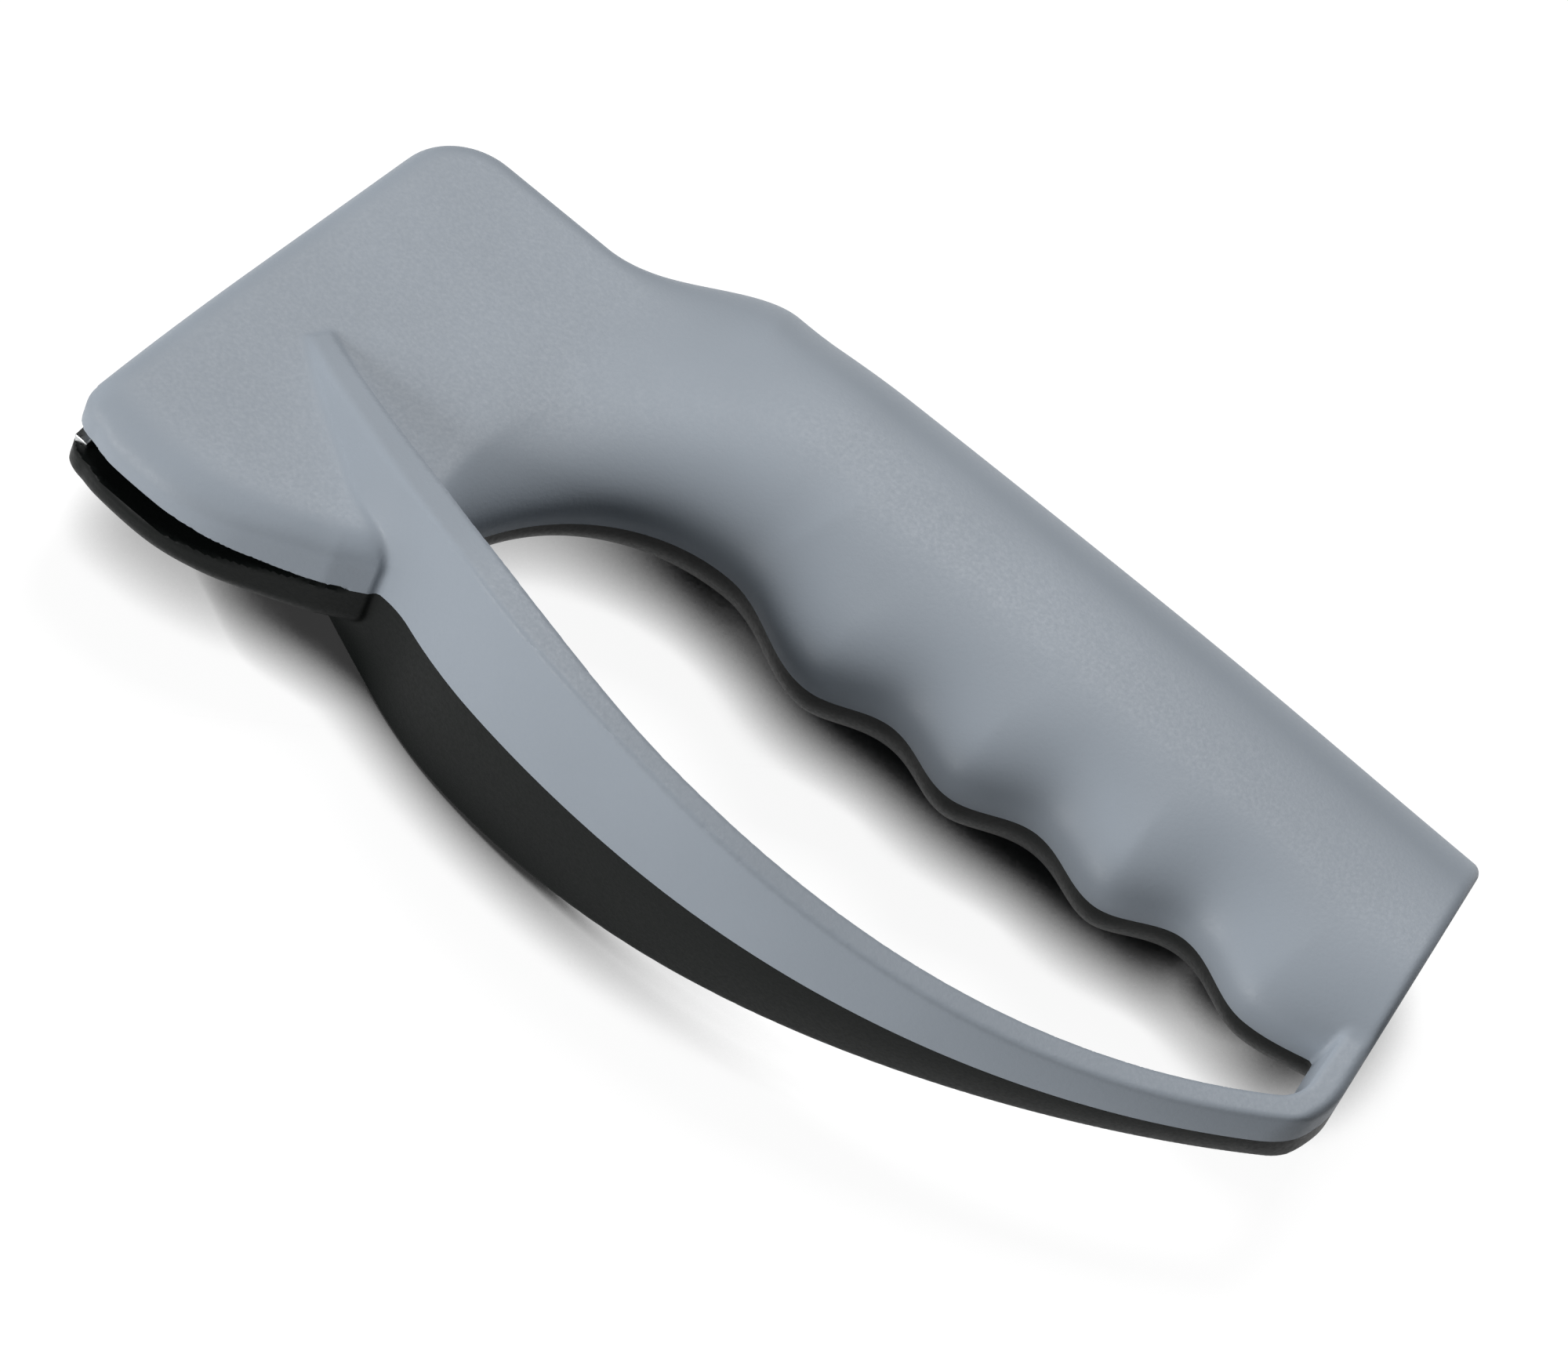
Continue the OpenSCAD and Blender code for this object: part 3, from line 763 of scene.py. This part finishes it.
def moulded_plastic(name, colour, grain, roughness, sheen):
    """Injection-moulded ABS from a spark-eroded mould: a fine, even matt grain that
    sparkles a little in highlights, and slight cloudiness from the melt's flow.

    The real grain is about 0.1 mm, too fine to show in the render. It is drawn as
    coarse as the grain given, so that it can be seen."""
    material, tree = new_material(name)
    place = add_node(tree, "ShaderNodeTexCoord").outputs["Object"]
    fine = add_node(tree, "ShaderNodeTexNoise", {
        "Vector": place, "Scale": 1 / grain, "Detail": 3.0, "Roughness": 0.6,
    })
    cloud = add_node(tree, "ShaderNodeTexNoise", {
        "Vector": place, "Scale": 1 / CLOUD_L, "Detail": 2.0,
    })
    shade = spread_noise(tree, cloud, 1 - CLOUD_SHARE, 1 + CLOUD_SHARE)
    base = add_node(tree, "ShaderNodeMix", {
        0: 1.0, 6: colour, 7: shade,
    }, data_type="RGBA", blend_type="MULTIPLY")
    bump = add_node(tree, "ShaderNodeBump", {
        "Height": fine.outputs["Fac"], "Strength": 0.22, "Distance": GRAIN_DEPTH,
    })
    shader = add_node(tree, "ShaderNodeBsdfPrincipled", {
        "Base Color": base.outputs[2], "IOR": 1.5, "Specular IOR Level": sheen,
        "Roughness": spread_noise(tree, fine, roughness - GRAIN_ROUGH, roughness + GRAIN_ROUGH),
        "Normal": bump.outputs["Normal"],
    })
    add_node(tree, "ShaderNodeOutputMaterial", {"Surface": shader.outputs["BSDF"]})
    return material


def ground_metal(name, colour, roughness, grit):
    """Metal with fine marks from grinding or rolling that run along its length, so
    that a highlight on it is drawn out into streaks.

    Real marks are a few hundredths of a millimetre apart, and are drawn coarser."""
    material, tree = new_material(name)
    place = add_node(tree, "ShaderNodeTexCoord").outputs["Object"]
    along = add_node(tree, "ShaderNodeMapping", {"Vector": place, "Scale": (1, MARK_SHARE, 1)})
    marks = add_node(tree, "ShaderNodeTexNoise", {
        "Vector": along.outputs["Vector"], "Scale": 1 / grit, "Detail": 2.0,
    })
    bump = add_node(tree, "ShaderNodeBump", {
        "Height": marks.outputs["Fac"], "Strength": 0.2, "Distance": MARK_DEPTH,
    })
    shader = add_node(tree, "ShaderNodeBsdfPrincipled", {
        "Base Color": colour, "Metallic": 1.0,
        "Roughness": spread_noise(tree, marks, roughness - MARK_SMOOTH, roughness + MARK_ROUGH),
        "Normal": bump.outputs["Normal"],
    })
    add_node(tree, "ShaderNodeOutputMaterial", {"Surface": shader.outputs["BSDF"]})
    return material


class SHARPENER_OT_grey_shell(bpy.types.Operator):
    """Builds the grey shell from its rounded forms and their fillets"""

    bl_idname = "sharpener.grey_shell"
    bl_label = "Grey shell"

    def execute(self, context):
        sizes = context.scene.sharpener_handle
        points, faces = skin(grey_distance, SKIN_LOW, SKIN_HIGH, MESH_STEP)
        colour = tuple(sizes.grey)
        material = moulded_plastic("grey_abs_fine_grain", colour, sizes.grain, *GREY_FINISH)
        piece = add_mesh("grey_shell", points, faces, material)
        flatten_parting(piece)
        finish_shading(piece)
        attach(piece, ROOT)
        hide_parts("front_shell")
        return {"FINISHED"}


class SHARPENER_OT_black_shell(bpy.types.Operator):
    """Builds the black shell, the grey one's mirror image with recesses for the screws"""

    bl_idname = "sharpener.black_shell"
    bl_label = "Black shell"

    def execute(self, context):
        sizes = context.scene.sharpener_handle
        points, faces = skin(black_distance, SKIN_LOW, SKIN_HIGH, MESH_STEP)
        colour = tuple(sizes.black)
        material = moulded_plastic("black_abs_fine_grain", colour, sizes.grain, *BLACK_FINISH)
        piece = add_mesh("black_shell", points * (1, 1, -1), faces[:, ::-1], material)
        flatten_parting(piece)
        finish_shading(piece)
        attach(piece, ROOT)
        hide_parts("rear_shell")
        return {"FINISHED"}


class SHARPENER_OT_cutters(bpy.types.Operator):
    """Builds the two crossed carbide bars with ground edges"""

    bl_idname = "sharpener.cutters"
    bl_label = "Cutters"

    def execute(self, context):
        sizes = context.scene.sharpener_cutters
        material = ground_metal("ground_carbide", tuple(sizes.carbide), *CARBIDE_FINISH)
        second = CUTTER_SETBACK + CUTTER_T + CUTTER_GAP
        bars = (("rear_cutter", 1, CUTTER_SETBACK), ("front_cutter", -1, second))
        for node, side, start in bars:
            low = (start, -CUTTER_L * CUTTER_LOWER_SHARE, -CUTTER_W / 2)
            size = (CUTTER_T, CUTTER_L, CUTTER_W)
            work = bmesh.new()
            bmesh.ops.create_cube(work, size=1.0)
            for vertex in work.verts:
                vertex.co = Vector(low[n] + size[n] * (vertex.co[n] + 0.5) for n in range(3))
            turn = Matrix.Rotation(side * CUTTER_LEAN, 4, "X")
            place = Matrix.Translation((PLAN_X, PLAN_Y + CROSS_Y, PARTING_Z))
            bmesh.ops.transform(work, matrix=Matrix.Scale(MM, 4) @ place @ turn, verts=work.verts)
            bmesh.ops.bevel(
                work, geom=work.edges[:], offset=sizes.edge, segments=2, affect="EDGES",
                profile=0.5,
            )
            mesh = bpy.data.meshes.new(node + "_bar")
            work.to_mesh(mesh)
            work.free()
            mesh.materials.append(material)
            piece = bpy.data.objects.new(node + "_bar", mesh)
            context.scene.collection.objects.link(piece)
            finish_shading(piece, 50)
            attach(piece, ROOT)
            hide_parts(node)
        return {"FINISHED"}


def screw_tree(material):
    """Geometry nodes that stand a screw with a six-sided socket on each point."""
    tree = bpy.data.node_groups.new("screws", "GeometryNodeTree")
    face = tree.interface
    face.new_socket("Geometry", in_out="INPUT", socket_type="NodeSocketGeometry")
    for name in ("Head Radius", "Head Height", "Shank Radius", "Length"):
        face.new_socket(name, in_out="INPUT", socket_type="NodeSocketFloat")
    face.new_socket("Sides", in_out="INPUT", socket_type="NodeSocketInt")
    face.new_socket("Geometry", in_out="OUTPUT", socket_type="NodeSocketGeometry")
    given = add_node(tree, "NodeGroupInput").outputs

    def scaled(socket, share):
        node = add_node(tree, "ShaderNodeMath", {0: socket, 1: share}, operation="MULTIPLY")
        return node.outputs[0]

    def round_piece(radius_low, radius_high, depth, drop, sides):
        cone = add_node(tree, "GeometryNodeMeshCone", {
            "Vertices": sides, "Depth": depth,
            "Radius Bottom": radius_low, "Radius Top": radius_high,
        })
        lift = add_node(tree, "ShaderNodeCombineXYZ", {"Z": drop})
        return add_node(tree, "GeometryNodeTransform", {
            "Geometry": cone.outputs["Mesh"], "Translation": lift.outputs[0],
        }).outputs[0]

    radius, height, sides = given["Head Radius"], given["Head Height"], given["Sides"]
    dome = round_piece(
        scaled(radius, DOME_R_SHARE), radius, scaled(height, DOME_H_SHARE),
        scaled(height, -1.0), sides,
    )
    collar = round_piece(
        radius, radius, scaled(height, 1 - DOME_H_SHARE), scaled(height, DOME_H_SHARE - 1), sides,
    )
    shank = round_piece(
        given["Shank Radius"], scaled(given["Shank Radius"], SHANK_TIP_SHARE), given["Length"],
        0.0, sides,
    )
    socket_radius = scaled(radius, SOCKET_R_SHARE)
    socket = round_piece(
        socket_radius, socket_radius, height, scaled(height, -SOCKET_LOW_SHARE), SOCKET_SIDES,
    )
    solid = add_node(tree, "GeometryNodeMeshBoolean", operation="UNION", solver="EXACT")
    for part in (dome, collar, shank):
        tree.links.new(part, solid.inputs["Mesh 2"])
    cut = add_node(tree, "GeometryNodeMeshBoolean", {"Mesh 1": solid.outputs["Mesh"]},
                   operation="DIFFERENCE", solver="EXACT")
    tree.links.new(socket, cut.inputs["Mesh 2"])
    copies = add_node(tree, "GeometryNodeInstanceOnPoints", {
        "Points": given["Geometry"], "Instance": cut.outputs["Mesh"],
    })
    real = add_node(tree, "GeometryNodeRealizeInstances", {
        "Geometry": copies.outputs["Instances"],
    })
    coated = add_node(tree, "GeometryNodeSetMaterial", {
        "Geometry": real.outputs["Geometry"], "Material": material,
    })
    add_node(tree, "NodeGroupOutput", {"Geometry": coated.outputs["Geometry"]})
    return tree


class SHARPENER_OT_screws(bpy.types.Operator):
    """Stands the shell screws in their recesses in the black shell"""

    bl_idname = "sharpener.screws"
    bl_label = "Screws"

    def execute(self, context):
        sizes = context.scene.sharpener_screws
        material = ground_metal("zinc_plated_steel", hex_linear(STEEL_COLOUR), *STEEL_FINISH)
        points = [(x, y, -SCREW_SEAT_H) for x, y in SCREW_PLACES]
        seeds = add_mesh("screw_places", points, [], material)
        tree = screw_tree(material)
        modifier = seeds.modifiers.new("screws", "NODES")
        modifier.node_group = tree
        inputs = {item.name: item.identifier for item in tree.interface.items_tree
                  if item.in_out == "INPUT"}
        modifier[inputs["Head Radius"]] = sizes.head_radius
        modifier[inputs["Head Height"]] = sizes.head_height
        modifier[inputs["Shank Radius"]] = sizes.shank_radius
        modifier[inputs["Length"]] = sizes.length
        modifier[inputs["Sides"]] = sizes.sides
        graph = context.evaluated_depsgraph_get()
        mesh = bpy.data.meshes.new_from_object(seeds.evaluated_get(graph))
        bpy.data.objects.remove(seeds)
        piece = bpy.data.objects.new("screw_set", mesh)
        context.scene.collection.objects.link(piece)
        finish_shading(piece, 30)
        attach(piece, ROOT)
        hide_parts("shell_screws")
        return {"FINISHED"}


def area_lamp(name, place, size, power):
    """Soft rectangular lamp that points at the object."""
    data = bpy.data.lights.new(name, "AREA")
    data.shape = "RECTANGLE"
    data.size, data.size_y = size
    data.energy = power
    lamp = bpy.data.objects.new(name, data)
    lamp.location = place
    lamp.rotation_euler = (-Vector(place)).to_track_quat("-Z", "Y").to_euler()
    bpy.context.scene.collection.objects.link(lamp)


class SHARPENER_OT_stage(bpy.types.Operator):
    """Sets up the pale floor, the soft lamps and the camera"""

    bl_idname = "sharpener.stage"
    bl_label = "Stage"

    def execute(self, context):
        sizes = context.scene.sharpener_stage
        scene = context.scene
        material, tree = new_material("pale_floor_with_painted_shadow")
        path = add_node(tree, "ShaderNodeLightPath")
        paper = add_node(tree, "ShaderNodeBsdfDiffuse", {"Color": tuple(sizes.floor)})
        # Ambient occlusion darkens the floor's glow near the object: a painted contact shadow,
        # not cast by a lamp.
        near = add_node(tree, "ShaderNodeAmbientOcclusion", {
            "Distance": sizes.painted_shadow_reach, "Normal": SHADOW_LEAN,
        }, samples=32)
        shade = add_node(tree, "ShaderNodeMapRange", {
            "Value": near.outputs["AO"], "From Min": SHADOW_DARK, "From Max": SHADOW_CLEAR,
            "To Min": 0.0, "To Max": FLOOR_GLOW,
        })
        glow_with_painted_shadow = add_node(tree, "ShaderNodeEmission", {"Strength": shade.outputs["Result"]})
        bright = add_node(tree, "ShaderNodeBsdfDiffuse", {"Color": FLOOR_LIT})
        both = add_node(tree, "ShaderNodeAddShader", {0: glow_with_painted_shadow.outputs[0], 1: bright.outputs[0]})
        # Camera, glossy and transmission rays see the glow with its painted shadow, so the floor
        # also glows in the object's reflections.
        seen = path.outputs["Is Camera Ray"]
        for ray in ("Is Glossy Ray", "Is Transmission Ray"):
            seen = add_node(tree, "ShaderNodeMath", {0: seen, 1: path.outputs[ray]},
                            operation="MAXIMUM").outputs[0]
        shader = add_node(tree, "ShaderNodeMixShader", {
            0: seen, 1: paper.outputs[0], 2: both.outputs[0],
        })
        add_node(tree, "ShaderNodeOutputMaterial", {"Surface": shader.outputs[0]})
        mesh = bpy.data.meshes.new("floor")
        corners = ((-1, -1), (1, -1), (1, 1), (-1, 1))
        mesh.from_pydata(
            [(x * FLOOR_REACH, y * FLOOR_REACH, 0) for x, y in corners], [], [(0, 1, 2, 3)],
        )
        mesh.materials.append(material)
        floor = bpy.data.objects.new("floor", mesh)
        scene.collection.objects.link(floor)

        camera_data = bpy.data.cameras.new("camera")
        camera_data.lens = sizes.lens
        camera_data.sensor_width = SENSOR_W
        camera = bpy.data.objects.new("camera", camera_data)
        turn = (
            Matrix.Rotation(CAMERA_TURN, 4, "Z") @ Matrix.Rotation(CAMERA_TILT, 4, "X")
            @ Matrix.Rotation(CAMERA_ROLL, 4, "Z")
        )
        place = (Vector(CAMERA_PLACE) + Vector((PLAN_X, PLAN_Y, PARTING_Z))) * MM
        camera.matrix_world = Matrix.Translation(place) @ turn
        scene.collection.objects.link(camera)
        scene.camera = camera

        area_lamp("key", KEY_PLACE, KEY_SIZE, KEY_POWER)
        area_lamp("fill", FILL_PLACE, FILL_SIZE, FILL_POWER)
        world = bpy.data.worlds.new("studio")
        scene.world = world
        world.use_nodes = True
        sky = world.node_tree.nodes["Background"].inputs
        sky["Color"].default_value = (1, 1, 1, 1)
        sky["Strength"].default_value = WORLD_POWER
        scene.view_settings.view_transform = "Standard"
        return {"FINISHED"}


class SHARPENER_PT_panel(bpy.types.Panel):
    """Lists the steps that build the sharpener"""

    bl_idname = "SHARPENER_PT_panel"
    bl_label = "Knife sharpener"
    bl_space_type = "VIEW_3D"
    bl_region_type = "UI"
    bl_category = "Sharpener"

    def draw(self, context):
        layout = self.layout
        for group, names in GROUPS:
            box = layout.box()
            for name in names:
                box.prop(getattr(context.scene, group), name)
        for operator in OPERATORS:
            layout.operator(operator.bl_idname)


GROUPS = (
    ("sharpener_handle", ("grey", "black", "grain")),
    ("sharpener_cutters", ("edge", "carbide")),
    ("sharpener_screws", ("head_radius", "head_height", "shank_radius", "length", "sides")),
    ("sharpener_stage", ("lens", "floor", "painted_shadow_reach")),
)
PROPERTIES = {
    "sharpener_handle": HandleSizes,
    "sharpener_cutters": CutterSizes,
    "sharpener_screws": ScrewSizes,
    "sharpener_stage": StageSizes,
}
OPERATORS = (
    SHARPENER_OT_stage,
    SHARPENER_OT_grey_shell,
    SHARPENER_OT_black_shell,
    SHARPENER_OT_cutters,
    SHARPENER_OT_screws,
)


def register():
    for name, group in PROPERTIES.items():
        bpy.utils.register_class(group)
        setattr(bpy.types.Scene, name, PointerProperty(type=group))
    for operator in OPERATORS:
        bpy.utils.register_class(operator)
    bpy.utils.register_class(SHARPENER_PT_panel)


def unregister():
    bpy.utils.unregister_class(SHARPENER_PT_panel)
    for operator in reversed(OPERATORS):
        bpy.utils.unregister_class(operator)
    for name, group in PROPERTIES.items():
        delattr(bpy.types.Scene, name)
        bpy.utils.unregister_class(group)


def main():
    register()
    bpy.ops.sharpener.stage()
    bpy.ops.sharpener.grey_shell()
    bpy.ops.sharpener.black_shell()
    bpy.ops.sharpener.cutters()
    bpy.ops.sharpener.screws()


if __name__ == "__main__":
    main()
